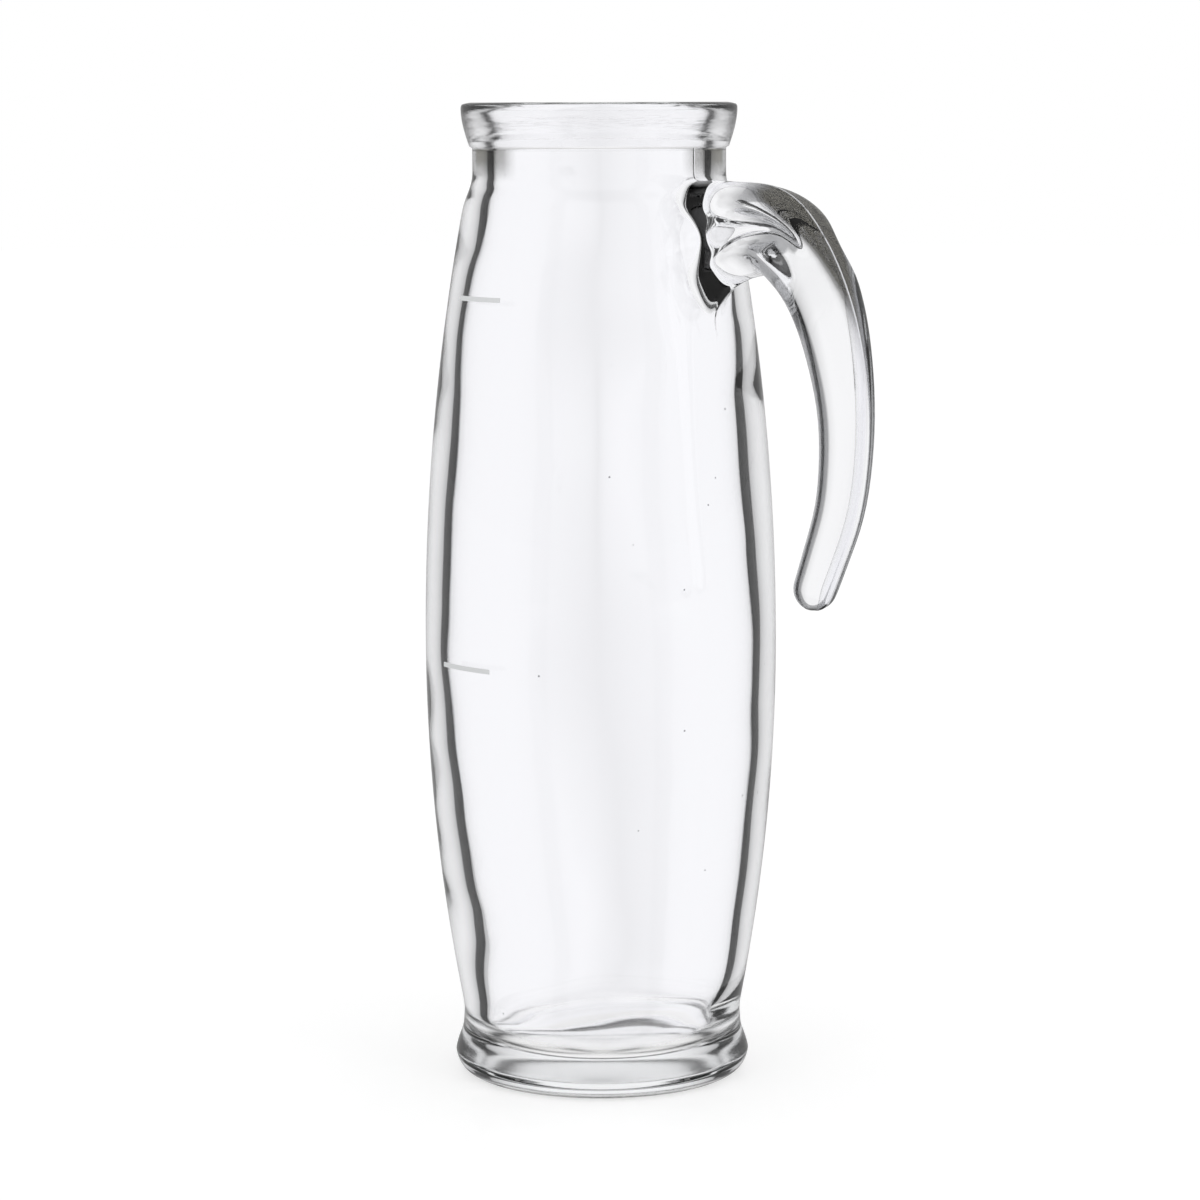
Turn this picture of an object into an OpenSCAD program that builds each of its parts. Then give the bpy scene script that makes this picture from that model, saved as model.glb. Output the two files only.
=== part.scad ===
// Glass water carafe with an open hook handle and two printed fill lines.
// The origin is the centre of the face it stands on, +Z is up and the handle points along +X.

/* [Body] */
// Height from the standing face to the top of the rim
body_h = 268; // [246:1:295]
// Widest diameter of the barrel
barrel_d = 96.8; // [93:0.2:103]
// Height of the widest point of the barrel
barrel_z = 120.5; // [108:0.5:129]
// Diameter where the barrel runs into the waist above the foot
ankle_d = 77.2; // [76:0.2:80]
// Height where the barrel runs into the waist
ankle_z = 19; // [15.5:0.5:25]
// Diameter of the waist
waist_d = 77.4; // [74:0.2:78]
// Height of the waist, where the foot starts to flare
waist_z = 13.4; // [10:0.2:14.6]
// Widest diameter of the foot
foot_d = 81.6; // [79:0.2:87]
// Radius of the rounded heel between the foot and the standing face
heel_r = 5.6; // [3:0.2:7]
// Diameter where the barrel runs into the neck
shoulder_d = 74.6; // [72:0.2:77]
// Distance of that shoulder below the rim
shoulder_drop = 28.8; // [26.8:0.2:33]
// Outer diameter of the neck
neck_d = 69; // [66:0.5:71]

/* [Collar] */
// Height of the collar round the mouth
collar_h = 12; // [9.4:0.2:13.4]
// How far the collar's lower edge stands out from the neck
collar_step = 0.9; // [0.5:0.1:1.4]
// How much further the collar stands out at its widest, just under the lip
collar_flare = 2.2; // [1.2:0.1:3.6]
// Radius of the outer edge of the lip
lip_r = 0.9; // [0.5:0.1:1.5]
// Height that the lip rises from its outer edge to its crest
lip_rise = 0.4; // [0.2:0.1:1]
// Distance of the crest of the lip inside its outer edge
crest_in = 3.4; // [2.8:0.1:4]

/* [Inside] */
// Thickness of the barrel's wall
wall = 6.4; // [4.4:0.1:7]
// Extra thickness of the wall where it comes down to the floor
heel_extra = 1; // [0:0.1:1.8]
// How much thinner the wall is at its thinnest, under the shoulder
shoulder_thin = 1; // [0:0.1:1.6]
// Distance of that thinnest place below the rim
thin_drop = 62; // [50:0.5:75]
// Thickness of the floor at its edge
floor_t = 5.6; // [4:0.2:8]
// Height that the floor rises in the middle
floor_rise = 1.6; // [0:0.2:3]
// Radius of the corner between the floor and the wall
corner_r = 9; // [6:0.5:12]
// Depth of the hollow under the base
underside_rise = 1.6; // [0.6:0.2:2.4]
// Width of the flat ring that the carafe stands on
rest_w = 5.2; // [3:0.2:8]
// Thickness of the neck's wall, which leaves the bore of the mouth
neck_wall = 6.2; // [4.5:0.1:7]
// Length of the straight part of that bore
mouth_l = 12.4; // [8:0.2:13.4]
// How far the mouth flares out from its bore at the top
mouth_flare = 3; // [1.5:0.1:3.6]

/* [Handle] */
// Distance of the back of the handle from the middle of the body
handle_reach = 94.4; // [88:0.2:101]
// Distance of the top of the handle below the rim
handle_drop = 20.6; // [18:0.2:25]
// Height of the handle from its top to its tip
handle_h = 112.4; // [98:0.2:124]
// Depth of the grip, from its inner side to its back
grip_depth = 15; // [12:0.2:17.6]
// Width of the grip at its widest
grip_w = 26.4; // [22.6:0.2:29]
// Height of the root where it meets the body
root_h = 33.6; // [30:0.2:35]
// Thickness of the web left between the two hollows of the root
web_t = 5.4; // [4:0.2:8]
// Height of the hollows, halfway along the root
hollow_h = 7.2; // [5:0.2:9.4]
// Height of the seam that stands up along the handle
seam_h = 0.6; // [0.2:0.1:0.9]

/* [Fill lines] */
// Height of the half litre line
half_litre_z = 117.5; // [104:0.5:129]
// Distance of the one litre line below the rim
one_litre_drop = 52; // [39:0.2:72]
// Length of the half litre line round the body
half_line_l = 19.6; // [12:0.2:31]
// Length of the one litre line round the body
litre_line_l = 18.2; // [12:0.2:31]
// Width of both fill lines
line_w = 1.3; // [0.8:0.1:2]
// Thickness of the fired print
print_t = 0.12; // [0.08:0.01:0.2]

/* [Hidden] */
$fn = 96;
glass_colour = [0.86, 0.9, 0.9, 0.45];
print_colour = [0.85, 0.86, 0.85];

// Radii and heights that follow from the sizes above
barrel_r = barrel_d / 2;
foot_r = foot_d / 2;
neck_r = neck_d / 2;
mouth_r = neck_r - neck_wall;
shoulder_z = body_h - shoulder_drop;
thin_z = body_h - thin_drop;
collar_z = body_h - collar_h;
one_litre_z = body_h - one_litre_drop;
// Share of the way from the shoulder to the collar at which the neck becomes straight
neck_low_share = 0.55;
neck_low_z = shoulder_z + (collar_z - shoulder_z) * neck_low_share;
// Share of the way up the collar at which the straight bore ends
bore_top_share = 0.23;
mouth_top_z = collar_z + collar_h * bore_top_share;
mouth_low_z = mouth_top_z - mouth_l;
handle_top_z = body_h - handle_drop;
// Angles round the body of the middle of each fill line, seen from above and counted from the handle
half_line_a = -96.5;
litre_line_a = -99.4;

// Points along each stretch of the outline
barrel_steps = 26;
blend_steps = 10;
arc_steps = 8;

// Radius of the circle that leaves the barrel's widest point upright and passes a point dr in and dz away
function sweep_r(dr, dz) = (dr * dr + dz * dz) / (2 * dr);
low_sweep = sweep_r(barrel_r - ankle_d / 2, barrel_z - ankle_z);
high_sweep = sweep_r(barrel_r - shoulder_d / 2, shoulder_z - barrel_z);

// Radius of the barrel at a height, from the lower circle or the upper one
function barrel_at(z) =
    let (s = z < barrel_z ? low_sweep : high_sweep, dz = z - barrel_z)
    barrel_r - s + sqrt(s * s - dz * dz);
// Slope of the barrel's side at a height
function barrel_slope(z) =
    let (s = z < barrel_z ? low_sweep : high_sweep, dz = z - barrel_z)
    -dz / sqrt(s * s - dz * dz);

// A smooth step from 0 to 1
function ease(t) = let (u = max(0, min(1, t))) u * u * (3 - 2 * u);
// A curve from value a with slope sa to value b with slope 0, over a length l
function settle(a, sa, b, l, t) =
    a * (2 * pow(t, 3) - 3 * pow(t, 2) + 1) + sa * l * (pow(t, 3) - 2 * pow(t, 2) + t)
    + b * (3 * pow(t, 2) - 2 * pow(t, 3));

// The barrel settles into the waist below the ankle, and the foot flares out of the waist
function foot_at(z) =
    z > waist_z ? settle(barrel_at(ankle_z), -barrel_slope(ankle_z), waist_d / 2, ankle_z - waist_z,
                         (ankle_z - z) / (ankle_z - waist_z))
    : waist_d / 2 + (foot_r - waist_d / 2) * ease((waist_z - z) / (waist_z - heel_r));
// The neck takes over from the barrel above the shoulder and settles to radius r1 at a height
function neck_at(z, r0, r1, end_z) =
    let (l = end_z - shoulder_z, t = min(1, (z - shoulder_z) / l))
    settle(r0, barrel_slope(shoulder_z), r1, l, t);
// Outer radius of the body from the heel to the collar
function outer_at(z) =
    z < ankle_z ? foot_at(z)
    : z < shoulder_z ? barrel_at(z)
    : neck_at(z, barrel_at(shoulder_z), neck_r, neck_low_z);

// Thickness of the wall at a height
function wall_at(z) =
    wall + heel_extra * ease((barrel_z - z) / (barrel_z - ankle_z))
    - shoulder_thin * ease((z - barrel_z) / (thin_z - barrel_z))
    * ease((shoulder_z - z) / (shoulder_z - thin_z));
// Inner radius of the body above its rounded corner
function inner_at(z) =
    z < shoulder_z ? barrel_at(z) - wall_at(z)
    : neck_at(z, barrel_at(shoulder_z) - wall, mouth_r, mouth_low_z);

// Points of an arc about a centre, from one angle to another
function arc(x, y, r, a0, a1, n) =
    [for (i = [0 : n]) let (a = a0 + (a1 - a0) * i / n) [x + r * cos(a), y + r * sin(a)]];
// Evenly spaced values between two ends
function steps(a, b, n) = [for (i = [0 : n]) a + (b - a) * i / n];
// Points of a shallow dome over the axis, rising by h, out to radius r, at height z
function dome(r, h, z, n) = [for (i = [0 : n]) let (x = r * i / n) [x, z + h * (1 - pow(x / r, 2))]];

rest_r = foot_r - heel_r;
collar_low_r = neck_r + collar_step;
collar_r = collar_low_r + collar_flare;
collar_face_z = body_h - lip_rise - lip_r;
crest_r = collar_r - crest_in;
flare_r = mouth_r + mouth_flare;
// Bevel of the collar's sharp lower edge
edge_bevel = collar_step / 3;
// The lip between its outer edge and its crest, as shares of the way out and of its rise
lip_out_share = 0.35;
lip_drop_share = 0.12;
// Angles that the outer edge of the lip and its inner edge turn through
lip_turn = 75;
inner_lip_turn = 70;

// Outline of the outside, from the middle of the underside up to the crest of the lip
function outside() = concat(
    dome(rest_r - rest_w, underside_rise, 0, arc_steps),
    arc(rest_r, heel_r, heel_r, -90, 0, arc_steps),
    [for (z = steps(heel_r, waist_z, blend_steps)) if (z > heel_r) [foot_at(z), z]],
    [for (z = steps(waist_z, ankle_z, arc_steps)) if (z > waist_z) [foot_at(z), z]],
    [for (z = steps(ankle_z, barrel_z, barrel_steps)) if (z > ankle_z) [outer_at(z), z]],
    [for (z = steps(barrel_z, shoulder_z, barrel_steps)) if (z > barrel_z) [outer_at(z), z]],
    [for (z = steps(shoulder_z, neck_low_z, blend_steps)) if (z > shoulder_z) [outer_at(z), z]],
    [[neck_r, collar_z - collar_step], [collar_low_r - edge_bevel, collar_z - edge_bevel]],
    [for (t = steps(0, 1, arc_steps))
        [collar_low_r + (collar_r - collar_low_r) * sin(90 * t),
         collar_z + edge_bevel + (collar_face_z - collar_z - edge_bevel) * t]],
    [for (p = arc(collar_r - lip_r, collar_face_z, lip_r, 0, lip_turn, arc_steps))
        if (p[1] > collar_face_z) p],
    [[crest_r + (collar_r - crest_r) * lip_out_share, body_h - lip_rise * lip_drop_share]],
    [[crest_r, body_h]]
);

corner_z = floor_t + corner_r;
corner_x = inner_at(corner_z) - corner_r;
inner_lip = crest_r - flare_r;
// Share of the flare that is left where it meets the straight bore
flare_start_share = 0.25;

// Outline of the inside, from the inner edge of the lip down to the middle of the floor
function inside() = concat(
    [for (a = steps(inner_lip_turn, 0, arc_steps / 2))
        [crest_r - inner_lip * cos(a), body_h - inner_lip * (1 - sin(a))]],
    [[mouth_r + mouth_flare * flare_start_share, mouth_top_z + collar_step]],
    [[mouth_r, mouth_top_z], [mouth_r, mouth_low_z]],
    [for (z = steps(mouth_low_z, shoulder_z, blend_steps)) if (z < mouth_low_z) [inner_at(z), z]],
    [for (z = steps(shoulder_z, barrel_z, barrel_steps)) if (z < shoulder_z) [inner_at(z), z]],
    [for (z = steps(barrel_z, corner_z, barrel_steps)) if (z < barrel_z) [inner_at(z), z]],
    [for (p = arc(corner_x, corner_z, corner_r, 0, -90, arc_steps)) if (p[1] < corner_z) p],
    [for (i = [arc_steps - 1 : -1 : 0]) dome(corner_x, floor_rise, floor_t, arc_steps)[i]]
);

// The vessel: foot, barrel, neck and collar in one wall of glass
module body() {
    color(glass_colour)
    rotate_extrude() polygon(concat(outside(), inside()));
}

// Everything inside the outer face of the body, which the handle is fused on to
module body_envelope() {
    rotate_extrude() polygon(concat(
        [[0, ankle_z]],
        [for (z = steps(ankle_z, barrel_z, barrel_steps)) [outer_at(z), z]],
        [for (z = steps(barrel_z, shoulder_z, barrel_steps)) if (z > barrel_z) [outer_at(z), z]],
        [for (z = steps(shoulder_z, neck_low_z, blend_steps)) if (z > shoulder_z) [outer_at(z), z]],
        [[neck_r, collar_z], [0, collar_z]]
    ));
}

// The handle runs through these sections, from inside the body's wall to the tip. Each has the place of its
// middle, as a share of the way out to the back and down to the tip, its half depth as a share of the grip's
// depth and its half width as a share of the grip's width. The last three are the share of the hollow's full
// depth that it has there, and the place of the hollow above the middle and its half height, as shares of
// hollow_h.
section_shares = [
    [-0.120, 0.150, 1.130, 0.350, 1.00, 0.24, 1.10],
    [ 0.110, 0.150, 1.120, 0.340, 1.00, 0.24, 1.05],
    [ 0.215, 0.130, 0.935, 0.315, 1.00, 0.10, 0.80],
    [ 0.320, 0.116, 0.820, 0.355, 1.00, 0.07, 0.62],
    [ 0.425, 0.114, 0.770, 0.425, 1.00, 0.07, 0.56],
    [ 0.515, 0.128, 0.700, 0.470, 0.92, 0.23, 0.54],
    [ 0.613, 0.172, 0.630, 0.475, 0.60, 0.60, 0.50],
    [ 0.718, 0.246, 0.565, 0.412, 0.00, 0.80, 0.45],
    [ 0.810, 0.364, 0.545, 0.328, 0.00, 0.80, 0.45],
    [ 0.872, 0.542, 0.504, 0.235, 0.00, 0.80, 0.45],
    [ 0.848, 0.731, 0.455, 0.208, 0.00, 0.80, 0.45],
    [ 0.757, 0.870, 0.405, 0.205, 0.00, 0.80, 0.45],
    [ 0.700, 0.944, 0.375, 0.202, 0.00, 0.80, 0.45]
];
// Rings between one section and the next, sides of a ring, and rings of the round tip
rings_between = 3;
ring_sides = 64;
tip_rings = 6;
// How square a ring's corners are: 2 is an ellipse
squareness = 2.35;
// How much wider a ring is towards the back than in its middle, as a share of its width
back_wider_share = 0.15;
// How square the sides of a hollow are
hollow_squareness = 3;
// Where the root starts, inside the wall of the neck
root_x = neck_r;
// The sections of the root stand upright up to this row, and turn with the bend over the next ones
upright_rows = 2;
turning_rows = 2.5;
// The root's own height fades out over the rows before this one
root_end_row = 3.2;
root_fade_rows = 2;

// A smooth curve through a table's rows, at a place counted in rows
function along(table, u) =
    let (n = len(table), i = min(n - 2, floor(u)), t = u - i,
         a = table[max(0, i - 1)], b = table[i], c = table[i + 1], d = table[min(n - 1, i + 2)])
    0.5 * (2 * b + (c - a) * t + (2 * a - 5 * b + 4 * c - d) * t * t + (3 * b - a - 3 * c + d) * t * t * t);
// The middle of the handle in its own plane, as [x, z]
function middle(u) =
    let (s = along(section_shares, u))
    [root_x + (handle_reach - root_x) * s[0], handle_top_z - handle_h * s[1]];
// The direction across the handle, towards its back
function outward(u) =
    let (e = 1 / rings_between, d = middle(min(len(section_shares) - 1, u + e)) - middle(max(0, u - e)),
         turned = ease((u - upright_rows) / turning_rows),
         n = [0, 1] * (1 - turned) + [-d[1], d[0]] / norm(d) * turned)
    n / norm(n);
// Half height of a section, which follows the root's own height near the body
function half_depth(u) =
    grip_depth * along(section_shares, u)[2]
    + (root_h / 2 - grip_depth * section_shares[1][2]) * ease((root_end_row - u) / root_fade_rows);

// One ring of the skin. Its hollows narrow it to the web, k shrinks it and shift moves it on at the tip
function ring(u, k, shift) =
    let (s = along(section_shares, u), m = middle(u), n = outward(u),
         a = half_depth(u) * k, b = grip_w * s[3] * k,
         dip = (1 - web_t / 2 / b) * max(0, min(1, s[4])))
    [for (i = [0 : ring_sides - 1])
        let (t = 360 * i / ring_sides,
             v = a * sin(t),
             w = b * sign(cos(t)) * pow(1 - pow(abs(sin(t)), squareness), 1 / squareness)
                 * (1 + back_wider_share * sin(t)),
             hollow = exp(-pow(abs(v - hollow_h * s[5]) / (hollow_h * s[6]), hollow_squareness)),
             seam = abs(cos(t)) < 1 / ring_sides ? seam_h * k * sign(sin(t)) : 0,
             p = m + n * (v + seam) + [n[1], -n[0]] * shift)
        [p[0], w * (1 - dip * hollow), p[1]]];

last_row = len(section_shares) - 1;
tip_r = grip_depth * section_shares[last_row][2];
handle_rings = concat(
    [for (i = [0 : last_row * rings_between]) ring(i / rings_between, 1, 0)],
    [for (i = [1 : tip_rings - 1]) let (a = 90 * i / tip_rings) ring(last_row, cos(a), tip_r * sin(a))]
);
ring_count = len(handle_rings);
tip_point = middle(last_row) + [outward(last_row)[1], -outward(last_row)[0]] * tip_r;

// The whole length of the handle as one closed skin
module handle_sweep() {
    points = concat([for (r = handle_rings) each r], [[tip_point[0], 0, tip_point[1]]]);
    sides = [for (j = [0 : ring_count - 2], i = [0 : ring_sides - 1])
        let (a = j * ring_sides + i, b = j * ring_sides + (i + 1) % ring_sides)
        each [[a, a + ring_sides, b], [b, a + ring_sides, b + ring_sides]]];
    root_cap = [for (i = [1 : ring_sides - 2]) [0, i, i + 1]];
    last = (ring_count - 1) * ring_sides;
    tip_cap = [for (i = [0 : ring_sides - 1]) [last + i, last + ring_sides, last + (i + 1) % ring_sides]];
    polyhedron(points, concat(sides, root_cap, tip_cap), convexity = 6);
}

// The hook handle, cut to the face of the body where the two are fused
module handle() {
    color(glass_colour)
    difference() {
        handle_sweep();
        body_envelope();
    }
}

// A thin printed line at height z that follows the side of the body for a length l, its middle at angle a
module fill_line(z, l, a) {
    low = z - line_w / 2;
    high = z + line_w / 2;
    turn = l / outer_at(z) * 180 / PI;
    color(print_colour)
    rotate([0, 0, a - turn / 2])
    rotate_extrude(angle = turn)
    polygon([[outer_at(low), low], [outer_at(low) + print_t, low],
             [outer_at(high) + print_t, high], [outer_at(high), high]]);
}
module fill_line_half_litre() { fill_line(half_litre_z, half_line_l, half_line_a); }
module fill_line_one_litre() { fill_line(one_litre_z, litre_line_l, litre_line_a); }

body();
handle();
fill_line_half_litre();
fill_line_one_litre();
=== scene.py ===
"""Looks of the glass water carafe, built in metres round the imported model.

The glass is one piece, as it is when it leaves the mould: a turned body whose wall opens at the neck into
the hook handle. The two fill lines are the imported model's own, with a fired enamel finish.
"""

import math

import bmesh
import bpy
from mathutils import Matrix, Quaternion, Vector


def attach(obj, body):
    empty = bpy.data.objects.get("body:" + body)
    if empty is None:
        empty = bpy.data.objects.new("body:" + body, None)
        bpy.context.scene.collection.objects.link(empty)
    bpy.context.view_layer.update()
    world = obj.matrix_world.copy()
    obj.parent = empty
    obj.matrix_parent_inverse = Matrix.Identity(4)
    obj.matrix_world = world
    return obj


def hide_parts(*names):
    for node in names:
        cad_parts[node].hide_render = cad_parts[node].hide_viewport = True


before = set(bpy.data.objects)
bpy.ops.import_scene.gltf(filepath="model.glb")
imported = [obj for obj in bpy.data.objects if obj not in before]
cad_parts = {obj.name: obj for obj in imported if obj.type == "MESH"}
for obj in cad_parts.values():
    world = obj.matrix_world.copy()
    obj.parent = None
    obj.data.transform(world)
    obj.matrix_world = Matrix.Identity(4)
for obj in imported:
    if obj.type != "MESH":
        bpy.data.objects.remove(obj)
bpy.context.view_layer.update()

MM = 0.001

# Sizes of the body, in millimetres: radii and heights up the outside, from the foot to the lip
BODY_H = 268.0
BARREL_R = 48.4
BARREL_Z = 120.5
ANKLE_R = 38.6
ANKLE_Z = 19.0
WAIST_R = 38.7
WAIST_Z = 13.4
FOOT_R = 40.8
HEEL_R = 5.6
SHOULDER_R = 37.3
SHOULDER_Z = 239.2
NECK_R = 34.5
NECK_LOW_Z = 248.44
COLLAR_Z = 256.0
COLLAR_FOOT_Z = 256.4
COLLAR_LOW_R = 35.4
COLLAR_R = 37.6
COLLAR_FACE_Z = 266.7
LIP_R = 0.9
CREST_R = 34.2

# The ring it stands on, the hollow underside within it, and the ridge that the mould leaves round the foot
UNDERSIDE_RISE = 1.6
REST_IN_R = 30.0
REST_R = 35.2
PARTING_RIDGE = 0.15
RIDGE_H = 0.5

# The inside: the flare of the mouth, its bore, the wall and the floor with the rounded corner above it
FLARE_R = 31.3
MOUTH_R = 28.3
MOUTH_LOW_Z = 246.36
BORE_LOW_Z = 248.5
WALL = 6.4
FLOOR_T = 5.6
FLOOR_RISE = 1.6
BOWL_Z = 20.0
# How much thicker the wall is at the heel, how much thinner under the shoulder, and where it is thinnest
HEEL_EXTRA = 1.0
SHOULDER_THIN = 1.0
THIN_Z = 206.0
# Exponents of the rounded corner, down the wall and across the floor. It is squarer the lower they are
BOWL_SIDE = 0.66
BOWL_FLAT = 0.62
# Points closer than this are merged, on the body and on the handle
MERGE_BODY = 0.01
MERGE_HANDLE = 0.001

# The handle
HANDLE_REACH = 94.4
HANDLE_TOP_Z = 247.4
HANDLE_H = 112.4
GRIP_DEPTH = 15.0
GRIP_W = 26.4
ROOT_H = 33.6
WEB_T = 5.4
HOLLOW_H = 7.2
SEAM_H = 0.6

# Columns round the body, and the part of its wall that opens into the handle, in columns and rows
COLUMNS = 96
ROOT_COLUMNS = 10
ROOT_ROWS = 22
ROOT_LOW_Z = 208.5
ROOT_HIGH_Z = 252.5
RING_SIDES = 2 * (ROOT_COLUMNS + ROOT_ROWS)


# The outline of the glass
def ease(t):
    """A smooth step from 0 to 1."""
    u = max(0.0, min(1.0, t))
    return u * u * (3 - 2 * u)


def settle(a, slope, b, length, t):
    """A curve from a, with that slope, to b with none."""
    return (
        a * (2 * t**3 - 3 * t**2 + 1)
        + slope * length * (t**3 - 2 * t**2 + t)
        + b * (3 * t**2 - 2 * t**3)
    )


def sweep_r(dr, dz):
    """Radius of an upright arc that draws in by dr over a height dz."""
    return (dr * dr + dz * dz) / (2 * dr)


LOW_SWEEP = sweep_r(BARREL_R - ANKLE_R, BARREL_Z - ANKLE_Z)
HIGH_SWEEP = sweep_r(BARREL_R - SHOULDER_R, SHOULDER_Z - BARREL_Z)


def barrel_at(z):
    """Outer radius of the barrel at a height."""
    sweep = LOW_SWEEP if z < BARREL_Z else HIGH_SWEEP
    return BARREL_R - sweep + math.sqrt(sweep**2 - (z - BARREL_Z) ** 2)


def barrel_slope(z):
    """How fast that radius grows with the height."""
    sweep = LOW_SWEEP if z < BARREL_Z else HIGH_SWEEP
    return -(z - BARREL_Z) / math.sqrt(sweep**2 - (z - BARREL_Z) ** 2)


def neck_at(z, r0, r1, end_z):
    """A radius between the shoulder and the neck, which leaves the barrel smoothly."""
    length = end_z - SHOULDER_Z
    return settle(r0, barrel_slope(SHOULDER_Z), r1, length, min(1.0, (z - SHOULDER_Z) / length))


def outer_at(z):
    """Outer radius of the body from the heel to the collar."""
    if z < WAIST_Z:
        return WAIST_R + (FOOT_R - WAIST_R) * ease((WAIST_Z - z) / (WAIST_Z - HEEL_R))
    if z < ANKLE_Z:
        length = ANKLE_Z - WAIST_Z
        return settle(barrel_at(ANKLE_Z), -barrel_slope(ANKLE_Z), WAIST_R, length, (ANKLE_Z - z) / length)
    if z < SHOULDER_Z:
        return barrel_at(z)
    return neck_at(z, SHOULDER_R, NECK_R, NECK_LOW_Z)


def inner_at(z):
    """Inner radius of the body above its rounded corner."""
    if z > SHOULDER_Z:
        return neck_at(z, SHOULDER_R - WALL, MOUTH_R, MOUTH_LOW_Z)
    thicker = HEEL_EXTRA * ease((BARREL_Z - z) / (BARREL_Z - ANKLE_Z))
    thinner = ease((z - BARREL_Z) / (THIN_Z - BARREL_Z)) * ease((SHOULDER_Z - z) / (SHOULDER_Z - THIN_Z))
    return barrel_at(z) - WALL - thicker + SHOULDER_THIN * thinner


def wall_middle(z):
    """The radius halfway through the wall, which tells its inside from its outside."""
    return (outer_at(z) + inner_at(z)) / 2


def spaced(a, b, n):
    """n values from a to b, without a itself."""
    return [a + (b - a) * (i + 1) / n for i in range(n)]


def arc(x, z, r, a0, a1, n):
    """Points of an arc, without its first one."""
    turned = [math.radians(a) for a in spaced(a0, a1, n)]
    return [(x + r * math.cos(a), z + r * math.sin(a)) for a in turned]


def up_outside(z0, z1, n):
    """Points up the outside of the body, without the first one."""
    return [(outer_at(z), z) for z in spaced(z0, z1, n)]


def down_inside(z0, z1, n):
    """Points down the inside of the body, without the first one."""
    return [(inner_at(z), z) for z in spaced(z0, z1, n)]


# How many points each stretch of the outline has
HEEL_POINTS = 7
FOOT_POINTS = 5
ANKLE_POINTS = 3
BARREL_POINTS = 46
LIP_POINTS = 3
SHOULDER_POINTS = 5
INSIDE_POINTS = 48
BOWL_POINTS = 16
# Where the arcs end, and where the points of the short stretches lie: in degrees, radii, shares and heights
HEEL_END = -6
LIP_END = 75
INNER_LIP_ANGLES = (55, 38, 20, 2)
UNDERSIDE_RADII = (0, 6, 12, 18, 24, 28)
COLLAR_SHARES = (0.0, 0.12, 0.26, 0.42, 0.58, 0.74, 0.88, 0.96)
BORE_HEIGHTS = (257.5, 254.8, 251.5, BORE_LOW_Z)
# Radius and height along the ring it stands on and along the flare
REST_RING = [(REST_IN_R - 0.5, 0.04), (REST_IN_R, 0), (REST_IN_R + 1.4, 0), (REST_R - 1, 0), (REST_R, 0)]
FLARE = [(30.6, 263.3), (29.8, 261.5), (29.1, 260.0), (28.5, 259.0)]
# The step, out from the neck and up from the collar, and the crest, out from its middle and up from the top
STEP = [(0.0, -1.8), (0.0, -0.7), (0.05, -0.2), (0.45, 0.0), (0.8, 0.1)]
CREST = [(1.9, -0.22), (1.0, -0.05), (0.0, 0.0), (-0.9, -0.14)]


def foot_outline():
    """The underside, the ring it stands on, the heel and the foot, up to the ankle."""
    under = [(r, UNDERSIDE_RISE * (1 - (r / REST_IN_R) ** 2)) for r in UNDERSIDE_RADII]
    heel = arc(REST_R, HEEL_R, HEEL_R, -90, HEEL_END, HEEL_POINTS)
    ridge = [(FOOT_R + PARTING_RIDGE, HEEL_R), (FOOT_R, HEEL_R + RIDGE_H)]
    foot = up_outside(HEEL_R + RIDGE_H, WAIST_Z, FOOT_POINTS) + up_outside(WAIST_Z, ANKLE_Z, ANKLE_POINTS)
    return under + REST_RING + heel + ridge + foot


def collar_outline():
    """The step under the collar, the collar's face, the lip and its crest."""
    step = [(NECK_R + out, COLLAR_Z + up) for out, up in STEP]
    wider, face_h = COLLAR_R - COLLAR_LOW_R, COLLAR_FACE_Z - COLLAR_FOOT_Z
    face = []
    for t in COLLAR_SHARES:
        face.append((COLLAR_LOW_R + wider * math.sin(math.pi / 2 * t), COLLAR_FOOT_Z + face_h * t))
    lip = arc(COLLAR_R - LIP_R, COLLAR_FACE_Z, LIP_R, 0, LIP_END, LIP_POINTS)
    crest = [(CREST_R + out, BODY_H + up) for out, up in CREST]
    return step + face + lip + crest


def mouth_outline():
    """The inner edge of the lip, the flare and the bore."""
    r = CREST_R - FLARE_R
    turned = [math.radians(a) for a in INNER_LIP_ANGLES]
    inner_lip = [(CREST_R - r * math.cos(a), BODY_H - r * (1 - math.sin(a))) for a in turned]
    return inner_lip + FLARE + [(MOUTH_R, z) for z in BORE_HEIGHTS]


def bowl_outline():
    """The rounded corner inside and the floor, which rises towards the middle."""
    side_r = inner_at(BOWL_Z)
    points = []
    for a in spaced(0, 90, BOWL_POINTS)[:-1]:
        turned = math.radians(a)
        r = side_r * math.cos(turned) ** BOWL_FLAT
        z = BOWL_Z - (BOWL_Z - FLOOR_T) * math.sin(turned) ** BOWL_SIDE
        points.append((r, z + FLOOR_RISE * (1 - r / side_r) ** 2))
    return points + [(0, FLOOR_T + FLOOR_RISE)]


def glass_outline():
    """The outline from the middle of the underside, up the outside, over the lip and down to the floor."""
    barrel = up_outside(ANKLE_Z, ROOT_LOW_Z, BARREL_POINTS)
    barrel += up_outside(ROOT_LOW_Z, ROOT_HIGH_Z, ROOT_ROWS)
    inside = down_inside(BORE_LOW_Z, SHOULDER_Z, SHOULDER_POINTS)
    inside += down_inside(SHOULDER_Z, BOWL_Z, INSIDE_POINTS)
    return foot_outline() + barrel + collar_outline() + mouth_outline() + inside + bowl_outline()


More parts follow.
